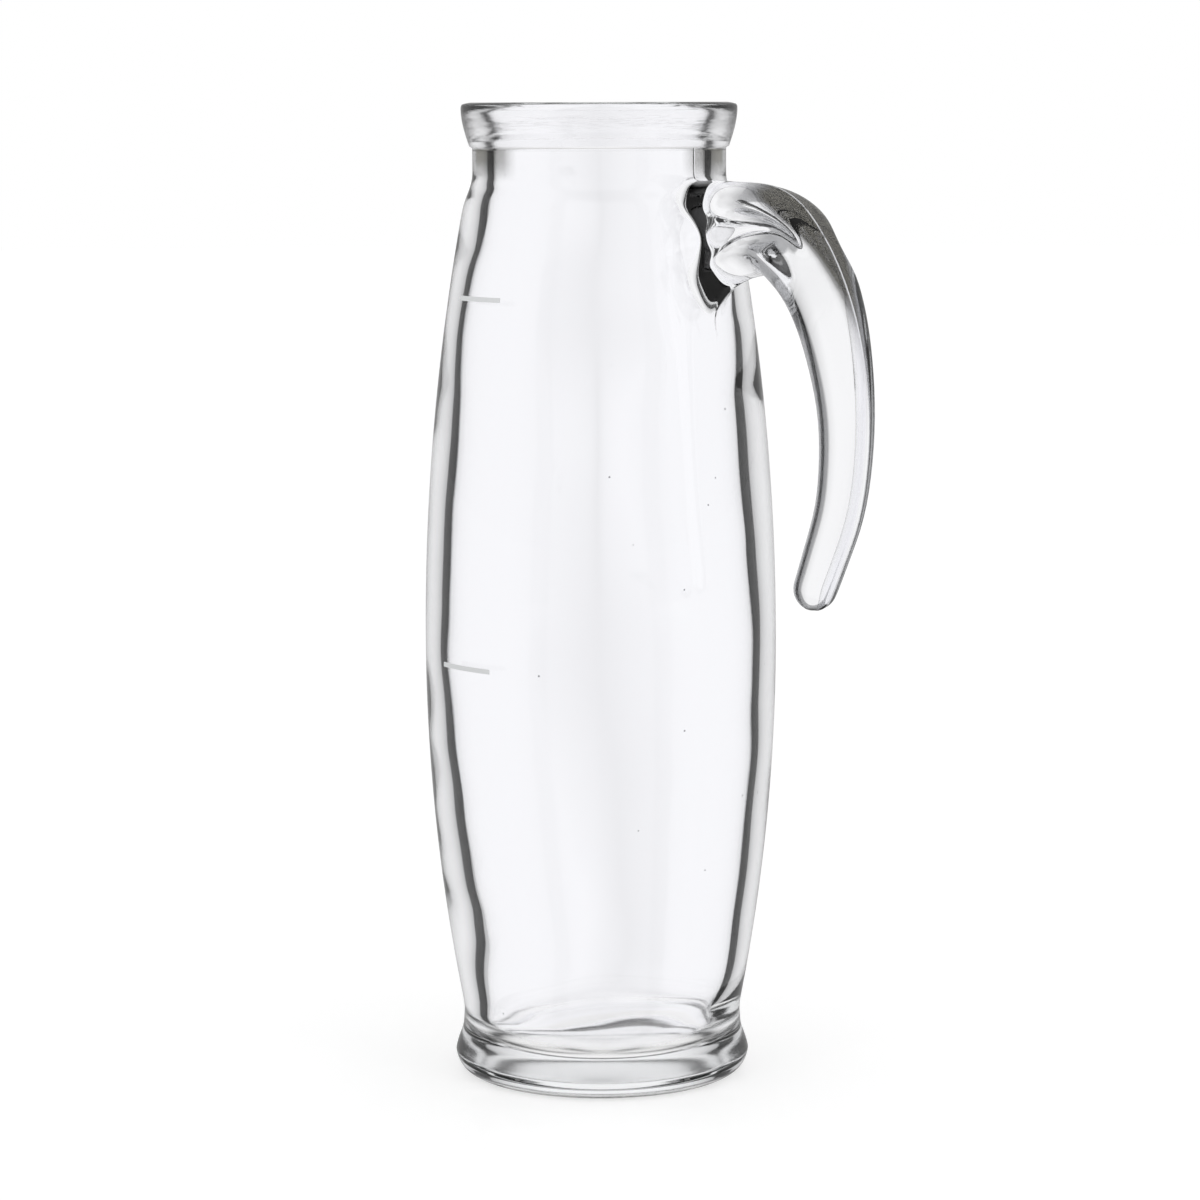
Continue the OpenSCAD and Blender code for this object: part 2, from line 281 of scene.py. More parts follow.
# The sections of the handle, as in the construction model: place of the middle, as shares of the way out
# and down, half depth, half width, depth of the hollow, and the hollow's place and half height
SECTIONS = [
    (-0.120, 0.150, 1.130, 0.350, 1.00, 0.24, 1.10),
    (0.110, 0.150, 1.120, 0.340, 1.00, 0.24, 1.05),
    (0.215, 0.130, 0.935, 0.315, 1.00, 0.10, 0.80),
    (0.320, 0.116, 0.820, 0.355, 1.00, 0.07, 0.62),
    (0.425, 0.114, 0.770, 0.425, 1.00, 0.07, 0.56),
    (0.515, 0.128, 0.700, 0.470, 0.92, 0.23, 0.54),
    (0.613, 0.172, 0.630, 0.475, 0.60, 0.60, 0.50),
    (0.718, 0.246, 0.565, 0.412, 0.00, 0.80, 0.45),
    (0.810, 0.364, 0.545, 0.328, 0.00, 0.80, 0.45),
    (0.872, 0.542, 0.504, 0.235, 0.00, 0.80, 0.45),
    (0.848, 0.731, 0.455, 0.208, 0.00, 0.80, 0.45),
    (0.757, 0.870, 0.405, 0.205, 0.00, 0.80, 0.45),
    (0.700, 0.944, 0.375, 0.202, 0.00, 0.80, 0.45),
]
LAST_ROW = len(SECTIONS) - 1
RINGS_BETWEEN = 3
TIP_RINGS = 6
# How square the rings are, how much wider they are at the handle's back, and how square the hollows are
SQUARENESS = 2.35
BACK_WIDER = 0.15
HOLLOW_SQUARENESS = 3
# Rows over which the rings stand upright, turn with the handle, and fade from the root's height
UPRIGHT_ROWS = 2
TURNING_ROWS = 2.5
ROOT_END_ROW = 3.2
ROOT_FADE_ROWS = 2
# The root draws in a little between the body and the grip, to leave room for the rounding into the body
ROOT_WAIST = 0.16
ROOT_WAIST_END = 2.8
ROOT_WAIST_ROWS = 1.4
# Row of the first ring that stands clear of that rounding
CLEAR_ROW = 1.45
# A small step, which tells which way a curve leaves
SMALL_STEP = 0.05
# How far the rounding reaches past the root on the body, at its sides, top and bottom
SIDE_SPREAD = 2.4
TOP_SPREAD = 1.6
BOTTOM_SPREAD = 4.2
# How much narrower it is beside the web, and how far it keeps to the body and to the root
WEB_FOOT = 0.74
LEAVE = 1.0
ARRIVE = 1.4
ROUNDING_LOOPS = 7
MARGIN_LOOPS = 2


def along(u):
    """The sections' values at a place counted in rows, on a smooth curve through them."""
    i = min(LAST_ROW - 1, int(u))
    t = u - i
    a, b, c, d = SECTIONS[max(0, i - 1)], SECTIONS[i], SECTIONS[i + 1], SECTIONS[min(LAST_ROW, i + 2)]
    return [
        0.5 * (2 * q + (r - p) * t + (2 * p - 5 * q + 4 * r - s) * t**2 + (3 * q - p - 3 * r + s) * t**3)
        for p, q, r, s in zip(a, b, c, d)
    ]


def middle(u):
    """The middle of a section: its distance from the axis and its height."""
    out, down = along(u)[:2]
    return Vector((NECK_R + (HANDLE_REACH - NECK_R) * out, HANDLE_TOP_Z - HANDLE_H * down))


def outward(u):
    """The direction across the handle, towards its back."""
    e = 1 / RINGS_BETWEEN
    d = middle(min(LAST_ROW, u + e)) - middle(max(0, u - e))
    turned = ease((u - UPRIGHT_ROWS) / TURNING_ROWS)
    across = Vector((-d.y, d.x)).normalized()
    return (Vector((0, 1)) * (1 - turned) + across * turned).normalized()


def rounded(sin):
    """Half width of a ring, as a share of the widest, at a share of its depth."""
    return max(0.0, 1 - abs(sin) ** SQUARENESS) ** (1 / SQUARENESS)


def on_seam(i):
    """Whether a point of a ring lies on the mould's seam, along the handle's back or its inner side."""
    return i % (RING_SIDES // 2) == RING_SIDES // 4


def handle_ring(u, shrink=1.0, ahead=0.0):
    """One ring of the handle, its sides narrowed by the hollows. At the tip it shrinks and moves ahead."""
    depth, width, hollowed, hollow_place, hollow_half_h = along(u)[2:]
    centre, across = middle(u), outward(u)
    root_deeper = ROOT_H / 2 - GRIP_DEPTH * SECTIONS[1][2]
    half_depth = GRIP_DEPTH * depth + root_deeper * ease((ROOT_END_ROW - u) / ROOT_FADE_ROWS)
    drawn_in = 1 - ROOT_WAIST * ease((ROOT_WAIST_END - u) / ROOT_WAIST_ROWS)
    half_w = GRIP_W * width * shrink * drawn_in
    dip = (1 - WEB_T / 2 / half_w) * max(0.0, min(1.0, hollowed))
    points = []
    for i in range(RING_SIDES):
        t = 2 * math.pi * i / RING_SIDES
        sin = math.sin(t)
        v = half_depth * shrink * sin
        off_hollow = abs(v - HOLLOW_H * hollow_place) / (HOLLOW_H * hollow_half_h)
        narrowed = 1 - dip * math.exp(-(off_hollow**HOLLOW_SQUARENESS))
        w = half_w * math.copysign(rounded(sin), math.cos(t)) * (1 + BACK_WIDER * sin) * narrowed
        if on_seam(i):
            w = 0.0
            v += SEAM_H * shrink * math.copysign(1, sin)
        p = centre + across * v + Vector((across.y, -across.x)) * ahead
        points.append(Vector((p.x, w, p.y)))
    return points


def on_body(angle, z):
    """The place on the outside of the body at an angle and a height."""
    r = outer_at(z)
    return Vector((r * math.cos(angle), r * math.sin(angle), z))


def root_edge():
    """Angle and height of the opening's edge in the body's wall, in the order of a ring's sides."""
    side, high = ROOT_COLUMNS / 2, ROOT_ROWS // 2
    up = [(side, j) for j in range(high)]
    top = [(side - j, high) for j in range(ROOT_COLUMNS)]
    down = [(-side, high - j) for j in range(ROOT_ROWS)]
    bottom = [(-side + j, -high) for j in range(ROOT_COLUMNS)]
    rest = [(side, -high + j) for j in range(high)]
    mid, row_h = (ROOT_LOW_Z + ROOT_HIGH_Z) / 2, (ROOT_HIGH_Z - ROOT_LOW_Z) / ROOT_ROWS
    return [(2 * math.pi * c / COLUMNS, mid + r * row_h) for c, r in up + top + down + bottom + rest]


def root_foot():
    """Angle and height, for each side of a ring, of the line on the body where the rounding starts."""
    width, place = along(1)[3], along(1)[5]
    middle_z = middle(1).y
    places = []
    for i in range(RING_SIDES):
        t = 2 * math.pi * i / RING_SIDES
        sin = math.sin(t)
        v = (ROOT_H / 2 + (TOP_SPREAD if sin > 0 else BOTTOM_SPREAD)) * sin
        w = GRIP_W * width * rounded(sin) * (1 + BACK_WIDER * sin) + SIDE_SPREAD * (1 - abs(sin)) ** 0.5
        w *= 1 - WEB_FOOT * math.exp(-((abs(v - HOLLOW_H * place) / HOLLOW_H) ** 2))
        side = 0.0 if on_seam(i) else math.copysign(w, math.cos(t))
        z = middle_z + v
        places.append((math.asin(side / outer_at(z)), z))
    return places


def rounding(t):
    """Weights of the ends and of the directions of a curve that leaves one way and arrives another."""
    return 2 * t**3 - 3 * t**2 + 1, 3 * t**2 - 2 * t**3, t**3 - 2 * t**2 + t, t**3 - t**2


def between(start, end, t):
    """The place on the body at a share of the way between two, each an angle and a height."""
    return on_body(start[0] + (end[0] - start[0]) * t, start[1] + (end[1] - start[1]) * t)


def root_loops():
    """The loops from the opening in the wall to the first clear ring."""
    edge, foot = root_edge(), root_foot()
    loops = []
    for j in range(1, MARGIN_LOOPS + 1):
        loops.append([between(a, b, j / MARGIN_LOOPS) for a, b in zip(edge, foot)])
    starts = [(on_body(*b) - between(b, a, SMALL_STEP)).normalized() for a, b in zip(edge, foot)]
    first, second = handle_ring(CLEAR_ROW), handle_ring(CLEAR_ROW + SMALL_STEP)
    for j in range(1, ROUNDING_LOOPS + 1):
        w0, w1, d0, d1 = rounding(j / ROUNDING_LOOPS)
        loop = []
        for i in range(RING_SIDES):
            p0, p1 = on_body(*foot[i]), first[i]
            reach = (p1 - p0).length
            arrive = (second[i] - first[i]).normalized()
            loop.append(p0 * w0 + p1 * w1 + starts[i] * reach * LEAVE * d0 + arrive * reach * ARRIVE * d1)
        loops.append(loop)
    return loops


# Modelling
def only(obj=None):
    """Nothing else selected, so that an operator acts on this piece alone."""
    bpy.ops.object.select_all(action="DESELECT")
    bpy.context.view_layer.objects.active = obj
    if obj:
        obj.select_set(True)


def glass_body():
    """The turned body: its outline drawn once and spun round the axis."""
    points = glass_outline()
    only()
    bpy.ops.mesh.primitive_circle_add(vertices=len(points), radius=BARREL_R * MM)
    obj = bpy.context.object
    obj.name = "carafe_glass"
    for vertex, (r, z) in zip(obj.data.vertices, points):
        vertex.co = (r * MM, 0, z * MM)
    bpy.ops.object.mode_set(mode="EDIT")
    bpy.ops.mesh.select_mode(type="EDGE")
    bpy.ops.mesh.select_all(action="DESELECT")
    bm = bmesh.from_edit_mesh(obj.data)
    for edge in bm.edges:
        if {v.index for v in edge.verts} == {0, len(points) - 1}:
            edge.select_set(True)
    bpy.ops.mesh.delete(type="EDGE")
    bpy.ops.mesh.select_all(action="SELECT")
    bpy.ops.mesh.spin(steps=COLUMNS, angle=2 * math.pi, center=(0, 0, 0), axis=(0, 0, 1))
    bpy.ops.mesh.select_all(action="SELECT")
    bpy.ops.mesh.remove_doubles(threshold=MERGE_BODY * MM)
    bpy.ops.mesh.normals_make_consistent(inside=False)
    bpy.ops.mesh.select_all(action="DESELECT")
    bpy.ops.object.mode_set(mode="OBJECT")
    return obj


# Extra thickness of the wall, by height, on the side away from the handle
FAR_SIDE_EXTRA = [
    (16, 0), (24, 0.5), (38, 1.8), (45, 1.65), (55, 1.15), (75, 0.75), (95, 0.2), (116, -0.4), (129, 0),
    (155, 0.4), (175, 1.0), (185, 0.75), (198, 0.1), (205, -0.2), (225, -0.2), (232, 0.4), (238, 0.8),
    (245, 0),
]
# The same on the side towards the handle
NEAR_SIDE_EXTRA = [
    (16, 0), (27, -1.3), (47, -0.9), (72, -0.6), (87, -0.6), (103, -0.1), (120, -0.1), (148, 1.1),
    (163, 1.8), (186, 1.7), (197, 0.6), (206, 0.2), (216, 0.6), (230, 0.2), (245, 0),
]
# Direction of the middle of the side away from the handle
FAR_SIDE = math.radians(223)
# The least radius that counts as the inner wall, which leaves the floor out
WALL_MIN_R = 20
# How far the wall swells inwards behind the handle's web, and how far that spreads up and sideways
ROOT_SWELL = 1.5
ROOT_SWELL_Z = 231
ROOT_SWELL_H = 16
ROOT_SWELL_W = 6


def extra_at(table, z):
    """A value between a table's heights, eased from each to the next."""
    for (z0, e0), (z1, e1) in zip(table, table[1:]):
        if z0 <= z <= z1:
            return e0 + (e1 - e0) * ease((z - z0) / (z1 - z0))
    return 0.0


def thicken_unevenly(obj):
    """Moves the inner wall in or out, as pressed glass is never even."""
    low_z, high_z = FAR_SIDE_EXTRA[0][0], FAR_SIDE_EXTRA[-1][0]
    for vertex in obj.data.vertices:
        x, y, z = vertex.co / MM
        r = math.hypot(x, y)
        if low_z < z < high_z and WALL_MIN_R < r < wall_middle(z):
            turn = math.cos(math.atan2(y, x) - FAR_SIDE)
            extra = extra_at(FAR_SIDE_EXTRA, z) * max(0.0, turn)
            extra += extra_at(NEAR_SIDE_EXTRA, z) * max(0.0, -turn)
            if x > 0:
                off_web = (y / ROOT_SWELL_W) ** 2 + ((z - ROOT_SWELL_Z) / ROOT_SWELL_H) ** 2
                extra += ROOT_SWELL * math.exp(-off_web)
            vertex.co.x, vertex.co.y = x * (1 - extra / r) * MM, y * (1 - extra / r) * MM


def open_wall(obj):
    """Takes the outer wall away where the handle grows out of it, and selects the edge of the opening."""
    reach = math.pi * ROOT_COLUMNS / COLUMNS
    bpy.ops.object.mode_set(mode="EDIT")
    bpy.ops.mesh.select_mode(type="FACE")
    bpy.ops.mesh.select_all(action="DESELECT")
    bm = bmesh.from_edit_mesh(obj.data)
    for face in bm.faces:
        c = face.calc_center_median() / MM
        in_opening = ROOT_LOW_Z < c.z < ROOT_HIGH_Z and abs(math.atan2(c.y, c.x)) < reach
        if in_opening and math.hypot(c.x, c.y) > wall_middle(c.z):
            face.select_set(True)
    bpy.ops.mesh.delete(type="FACE")
    bpy.ops.mesh.select_mode(type="EDGE")
    bpy.ops.mesh.select_non_manifold(
        extend=False, use_wire=False, use_multi_face=False, use_non_contiguous=False, use_verts=False
    )


# The rows over which the painted shade in the handle's bend comes and goes
STREAK_FROM = 3.4
STREAK_COMES = 1.6
STREAK_TO = 8.8
STREAK_GOES = 2
# How far it reaches round from the seam, as a share of a quarter turn, and how soft its edge is
STREAK_REACH = 0.42
STREAK_EDGE = 0.3
# How much wider it gets where it starts, and how much narrower further on, over these rows
STREAK_WIDER = 0.12
WIDER_FROM = 3.6
WIDER_ROWS = 1.2
STREAK_NARROWER = 0.34
NARROWER_FROM = 5
NARROWER_ROWS = 3


def bend_shade(u):
    """How much each point of a ring lies in the bend's painted shade, a dark streak which runs along the
    seam.
    """
    share = ease((u - STREAK_FROM) / STREAK_COMES) * ease((STREAK_TO - u) / STREAK_GOES)
    wider = STREAK_WIDER * ease((u - WIDER_FROM) / WIDER_ROWS)
    narrower = STREAK_NARROWER * ease((u - NARROWER_FROM) / NARROWER_ROWS)
    reach = STREAK_REACH + wider - narrower
    shades = []
    for i in range(RING_SIDES):
        off_seam = abs(i - RING_SIDES // 4) / (RING_SIDES // 4)
        shades.append(share * ease((reach - off_seam) / STREAK_EDGE))
    return shades


def grow(obj, before, after, shades):
    """Extrudes the selected loop and puts each of its points in its new place."""
    bpy.ops.mesh.extrude_edges_indiv()
    bm = bmesh.from_edit_mesh(obj.data)
    painted_bend = bm.verts.layers.float["bend_painted_shade"]
    for vertex in [v for v in bm.verts if v.select]:
        i = min(range(len(before)), key=lambda k: (before[k] * MM - vertex.co).length_squared)
        vertex.co = after[i] * MM
        # Each new point carries its share of the painted shade in the handle's bend
        vertex[painted_bend] = shades[i]
    bmesh.update_edit_mesh(obj.data)
    return after


def add_handle(obj):
    """Grows the handle out of the body's wall, ring by ring, and rounds off its tip."""
    # A mark for the painted shade in the handle's bend
    obj.data.attributes.new("bend_painted_shade", "FLOAT", "POINT")
    open_wall(obj)
    loop = [on_body(a, z) for a, z in root_edge()]
    rings = [(ring, bend_shade(0)) for ring in root_loops()]
    # The next ring keeps at least half a ring's distance from the first clear one
    next_ring = math.ceil(CLEAR_ROW * RINGS_BETWEEN + 0.5)
    for j in range(next_ring, LAST_ROW * RINGS_BETWEEN + 1):
        rings.append((handle_ring(j / RINGS_BETWEEN), bend_shade(j / RINGS_BETWEEN)))
    tip_r = GRIP_DEPTH * SECTIONS[LAST_ROW][2]
    for j in range(1, TIP_RINGS):
        turned = math.pi / 2 * j / TIP_RINGS
        ring = handle_ring(LAST_ROW, math.cos(turned), tip_r * math.sin(turned))
        rings.append((ring, bend_shade(LAST_ROW)))
    for ring, shades in rings:
        loop = grow(obj, loop, ring, shades)
    across = outward(LAST_ROW)
    tip = middle(LAST_ROW) + Vector((across.y, -across.x)) * tip_r
    grow(obj, loop, [Vector((tip.x, 0, tip.y))] * RING_SIDES, bend_shade(LAST_ROW))
    bpy.ops.mesh.select_all(action="SELECT")
    bpy.ops.mesh.remove_doubles(threshold=MERGE_HANDLE * MM)
    bpy.ops.mesh.normals_make_consistent(inside=False)
    bpy.ops.mesh.select_all(action="DESELECT")
    bpy.ops.object.mode_set(mode="OBJECT")


# How far out from the body the painted edge shade on the handle starts, and over how far it comes in
HANDLE_FROM = 14
HANDLE_OVER = 12
# The floor's finish fades in below this height, on what lies above the underside and within the wall
FLOOR_FINISH_Z = 19
FLOOR_FINISH_OVER = 5
UNDERSIDE_Z = 3.5
WITHIN_WALL = 3
# The seam on the body's skin fades in from just below the root and ends under the collar
SEAM_FROM_Z = 203
SEAM_OVER = 7
SEAM_TOP_Z = 255.8
SKIN = 0.5
# Further out than this it is the handle's seam, which leaves the collar out
HANDLE_SEAM_FROM = 2
HANDLE_SEAM_TOP_Z = 254


def seam_shows(x, z, out):
    """How much the seam shows at a place that lies this far out from the body."""
    if out >= HANDLE_SEAM_FROM:
        return float(z < HANDLE_SEAM_TOP_Z)
    on_front = x > 0 and out > -SKIN and z < SEAM_TOP_Z
    return ease((z - SEAM_FROM_Z) / SEAM_OVER) * float(on_front)


def mark_parts(obj):
    """Marks the handle, the floor inside, and the outside where the mould's seam shows."""
    handle = obj.data.attributes.new("on_handle", "FLOAT", "POINT")
    floor = obj.data.attributes.new("inner_floor", "FLOAT", "POINT")
    seam = obj.data.attributes.new("beside_seam", "FLOAT", "POINT")
    for vertex in obj.data.vertices:
        x, y, z = vertex.co / MM
        out = math.hypot(x, y) - outer_at(min(z, COLLAR_Z))
        inside = float(z > UNDERSIDE_Z and out < -WITHIN_WALL)
        handle.data[vertex.index].value = ease((out - HANDLE_FROM) / HANDLE_OVER)
        floor.data[vertex.index].value = ease((FLOOR_FINISH_Z - z) / FLOOR_FINISH_OVER) * inside
        seam.data[vertex.index].value = seam_shows(x, z, out)


def smooth(obj, levels):
    """Rounds the mesh off and shades it smooth."""
    modifier = obj.modifiers.new("Subdivision", "SUBSURF")
    modifier.levels = modifier.render_levels = levels
    only(obj)
    bpy.ops.object.modifier_apply(modifier=modifier.name)
    bpy.ops.object.shade_smooth()


glass = glass_body()
thicken_unevenly(glass)
add_handle(glass)
mark_parts(glass)
smooth(glass, 1)
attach(glass, "root")
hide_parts("body", "handle")


# Nodes
def node(tree, kind, **settings):
    """A new node with these settings."""
    made = tree.nodes.new(kind)
    for name, value in settings.items():
        setattr(made, name, value)
    return made


def feed(tree, socket, value):
    """Gives an input a number or a colour, or links another node's output to it."""
    if isinstance(value, (int, float, tuple)):
        socket.default_value = value
    else:
        tree.links.new(value, socket)


def calculate(tree, operation, *values):
    """A Math node fed with numbers or with other nodes' outputs."""
    made = node(tree, "ShaderNodeMath", operation=operation)
    for socket, value in zip(made.inputs, values):
        feed(tree, socket, value)
    return made.outputs[0]


def times(tree, a, b):
    return calculate(tree, "MULTIPLY", a, b)


def grey(level):
    """A grey as a colour."""
    return (level, level, level, 1)


def ramp(tree, value, stops):
    """A Color Ramp of greys: (position, level) pairs."""
    made = node(tree, "ShaderNodeValToRGB")
    elements = made.color_ramp.elements
    while len(elements) < len(stops):
        elements.new(0.5)
    for element, (position, level) in zip(elements, stops):
        element.position = position
        element.color = grey(level)
    tree.links.new(value, made.inputs[0])
    return made.outputs[0]


def blend(tree, share, low, high, kind="MIX"):
    """A Mix node between two colours, its inputs 6 and 7: each a tuple or another node's output."""
    made = node(tree, "ShaderNodeMix", data_type="RGBA", blend_type=kind)
    for socket, value in zip((made.inputs[0], made.inputs[6], made.inputs[7]), (share, low, high)):
        feed(tree, socket, value)
    return made.outputs[2]


def attribute(tree, name):
    """A mark of the mesh, from 0 to 1."""
    return node(tree, "ShaderNodeAttribute", attribute_name=name).outputs["Fac"]


def noise(tree, vector, scale, detail):
    made = node(tree, "ShaderNodeTexNoise")
    made.inputs["Scale"].default_value = scale
    made.inputs["Detail"].default_value = detail
    tree.links.new(vector, made.inputs["Vector"])
    return made.outputs["Fac"]


def relief(tree, height, distance, shader):
    """A Bump node between a height and a shader's normal. The height times the distance is in metres."""
    bump = node(tree, "ShaderNodeBump")
    bump.inputs["Distance"].default_value = distance
    tree.links.new(height, bump.inputs["Height"])
    tree.links.new(bump.outputs["Normal"], shader.inputs["Normal"])


def new_material(name):
    material = bpy.data.materials.new(name)
    material.use_nodes = True
    tree = material.node_tree
    return material, tree, tree.nodes["Principled BSDF"], tree.nodes["Material Output"]


# The glass: clear, and a little absorbing inside
GLASS_COLOUR = (0.985, 0.985, 1.0, 1)
GLASS_IOR = 1.5
GLASS_INSIDE = (0.80, 0.84, 0.84, 1)
GLASS_DENSITY = 3.0
# How much painted shade darkens the handle's edges by their angle to the eye: (0 face on to 1 edge on,
# share)
HANDLE_EDGE_STOPS = [(0.0, 0.0), (0.325, 0.0), (0.36, 0.8), (0.5, 0.9), (1.0, 0.96)]
PAINTED_HANDLE_EDGE_SHADE = (0.055, 0.058, 0.064, 1)
# Painted shade on the neck under the collar, by its angle to the eye as above, and where that lies, as
# shares of the whole height
NECK_EDGE_STOPS = [(0.0, 0.0), (0.24, 0.0), (0.34, 0.8), (0.5, 0.97), (0.74, 1.0), (0.85, 0.5), (0.92, 0.0)]
UNDER_COLLAR_STOPS = [(0.0, 0.0), (0.922, 0.0), (0.932, 0.7), (0.940, 0.96), (0.9535, 1.0), (0.955, 0.0)]
PAINTED_NECK_SHADE = (0.045, 0.042, 0.030, 1)
# Painted shade in the handle's bend: how its mark becomes a share, and its speckle
STREAK_STOPS = [(0.0, 0.0), (0.35, 0.88), (0.6, 1.0)]
PAINTED_BEND_SHADE = (0.010, 0.009, 0.006, 1)
SPECKLE_SCALE = 2600
SPECKLE_STOPS = [(0.0, 0.94), (0.4, 0.975), (0.6, 1.0)]
# Small bubbles, seen as specks: how close their cells lie, the size of one, and the share of cells without
SEED_CELLS = 150
SEED_SIZE = 0.04
SEED_RARITY = 0.62
SEED_SHADE = (0.10, 0.10, 0.11, 1)
# The underside: its share by height over the lowest millimetres, and its tint
UNDERSIDE_H = 4
UNDERSIDE_STOPS = [(0.0, 1.0), (0.42, 1.0), (0.55, 0.0)]
UNDERSIDE_TINT = (0.98, 0.975, 0.96, 1)
# Where the collar lies, as shares of the whole height
COLLAR_STOPS = [(0.0, 0.0), (0.955, 0.0), (0.959, 1.0), (0.992, 1.0), (0.997, 0.0)]
# Roughness of the underside, the floor inside and the collar. The rest is polished
UNDERSIDE_ROUGHNESS = 0.1
INNER_FLOOR_ROUGHNESS = 0.2
COLLAR_ROUGHNESS = 0.1
# Relief, with heights in millimetres: the seam, the waves of pressed glass and the collar's level ripples
SEAM_HALF_W = 0.45
SEAM_RISE = 0.12
WAVE_SCALE = 45
WAVE_H = 0.05
RIPPLE_SCALE = (70, 70, 800)
RIPPLE_H = 0.04


def seam_ridge(tree, y):
    """The mould's seam, a low ridge in the plane of the handle: 1 on its top, 0 beside it."""
    off = calculate(tree, "DIVIDE", calculate(tree, "ABSOLUTE", y), SEAM_HALF_W * MM)
    ridge = calculate(tree, "MAXIMUM", calculate(tree, "SUBTRACT", 1.0, off), 0.0)
    return times(tree, ridge, attribute(tree, "beside_seam"))


def seeds(tree, place):
    """Small bubbles here and there, as specks: 1 inside a speck, 0 outside."""
    cells = node(tree, "ShaderNodeTexVoronoi")
    cells.inputs["Scale"].default_value = SEED_CELLS
    tree.links.new(place, cells.inputs["Vector"])
    chosen = node(tree, "ShaderNodeSeparateColor")
    tree.links.new(cells.outputs["Color"], chosen.inputs[0])
    small = calculate(tree, "LESS_THAN", cells.outputs["Distance"], SEED_SIZE)
    return times(tree, small, calculate(tree, "GREATER_THAN", chosen.outputs[0], SEED_RARITY))


def glass_colour(tree, place, height, ridge):
    """Clear, with painted shade along the handle's edges, in its bend and under the collar, and darker at
    specks.
    """
    edge_on = node(tree, "ShaderNodeLayerWeight").outputs["Facing"]
    # The painted shades and the specks are for what the camera sees directly, apart from the seam's ridge
    seen = node(tree, "ShaderNodeLightPath").outputs["Is Camera Ray"]
    seen = times(tree, seen, calculate(tree, "SUBTRACT", 1.0, ridge))
    # Painted shade along the handle's edges, darker the more edge on they are
    edges = times(tree, attribute(tree, "on_handle"), ramp(tree, edge_on, HANDLE_EDGE_STOPS))
    # Painted shade in the handle's bend, speckled
    speckle = ramp(tree, noise(tree, place, SPECKLE_SCALE, detail=3), SPECKLE_STOPS)
    painted_bend = times(tree, ramp(tree, attribute(tree, "bend_painted_shade"), STREAK_STOPS), speckle)
    # Painted shade on the neck under the collar
    neck = times(tree, ramp(tree, height, UNDER_COLLAR_STOPS), ramp(tree, edge_on, NECK_EDGE_STOPS))
    specks = seeds(tree, place)
    colour = GLASS_COLOUR
    shades = ((edges, PAINTED_HANDLE_EDGE_SHADE), (painted_bend, PAINTED_BEND_SHADE), (neck, PAINTED_NECK_SHADE), (specks, SEED_SHADE))
    for share, shade in shades:
        colour = blend(tree, times(tree, share, seen), colour, shade)
    return colour


def glass_relief(tree, place, ridge, collar):
    """Heights of the seam, the slight waves and the collar's ripples, in metres."""
    waves = times(tree, noise(tree, place, WAVE_SCALE, detail=1), WAVE_H * MM)
    flattened = node(tree, "ShaderNodeVectorMath", operation="MULTIPLY")
    tree.links.new(place, flattened.inputs[0])
    flattened.inputs[1].default_value = RIPPLE_SCALE
    ripples = times(tree, noise(tree, flattened.outputs[0], scale=1, detail=2), collar)
    unevenness = calculate(tree, "ADD", waves, times(tree, ripples, RIPPLE_H * MM))
    return calculate(tree, "MULTIPLY_ADD", ridge, SEAM_RISE * MM, unevenness)


def clear_glass():
    """Polished glass, dull from the mould underneath and on the floor inside, slightly on the collar."""
    material, tree, shader, output = new_material("clear_pressed_glass")
    place = node(tree, "ShaderNodeTexCoord").outputs["Object"]
    axes = node(tree, "ShaderNodeSeparateXYZ")
    tree.links.new(place, axes.inputs[0])
    x, y, z = axes.outputs
    height = calculate(tree, "DIVIDE", z, BODY_H * MM)
    ridge = seam_ridge(tree, y)
    collar = ramp(tree, height, COLLAR_STOPS)
    underneath = ramp(tree, calculate(tree, "DIVIDE", z, UNDERSIDE_H * MM), UNDERSIDE_STOPS)

    colour = blend(tree, underneath, glass_colour(tree, place, height, ridge), UNDERSIDE_TINT)
    tree.links.new(colour, shader.inputs["Base Color"])
    dull = times(tree, attribute(tree, "inner_floor"), INNER_FLOOR_ROUGHNESS)
    dull = calculate(tree, "MULTIPLY_ADD", underneath, UNDERSIDE_ROUGHNESS, dull)
    dull = calculate(tree, "MULTIPLY_ADD", collar, COLLAR_ROUGHNESS, dull)
    tree.links.new(dull, shader.inputs["Roughness"])
    relief(tree, glass_relief(tree, place, ridge, collar), 1.0, shader)

    shader.inputs["IOR"].default_value = GLASS_IOR
    shader.inputs["Transmission Weight"].default_value = 1.0
    inside = node(tree, "ShaderNodeVolumeAbsorption")
    inside.inputs["Color"].default_value = GLASS_INSIDE
    inside.inputs["Density"].default_value = GLASS_DENSITY
    tree.links.new(inside.outputs[0], output.inputs["Volume"])
    return material


# The fill lines' enamel: its two tones, grain, patches of gloss, and relief in millimetres
ENAMEL_DARK = (0.84, 0.85, 0.86, 1)
ENAMEL_PALE = (0.93, 0.95, 0.95, 1)
ENAMEL_GRAIN = 1800
ENAMEL_PATCHES = 500
ENAMEL_GLOSS_STOPS = [(0.3, 0.3), (0.7, 0.55)]
ENAMEL_RELIEF = 0.02


def fired_print():
    """Pale enamel, fired on: a little uneven in tone, gloss and surface."""
    material, tree, shader, output = new_material("fired_pale_grey_enamel")
    place = node(tree, "ShaderNodeTexCoord").outputs["Object"]
    grain = noise(tree, place, ENAMEL_GRAIN, detail=3)
    gloss = ramp(tree, noise(tree, place, ENAMEL_PATCHES, detail=1), ENAMEL_GLOSS_STOPS)
    tree.links.new(blend(tree, grain, ENAMEL_DARK, ENAMEL_PALE), shader.inputs["Base Color"])
    tree.links.new(gloss, shader.inputs["Roughness"])
    relief(tree, grain, ENAMEL_RELIEF * MM, shader)
    return material


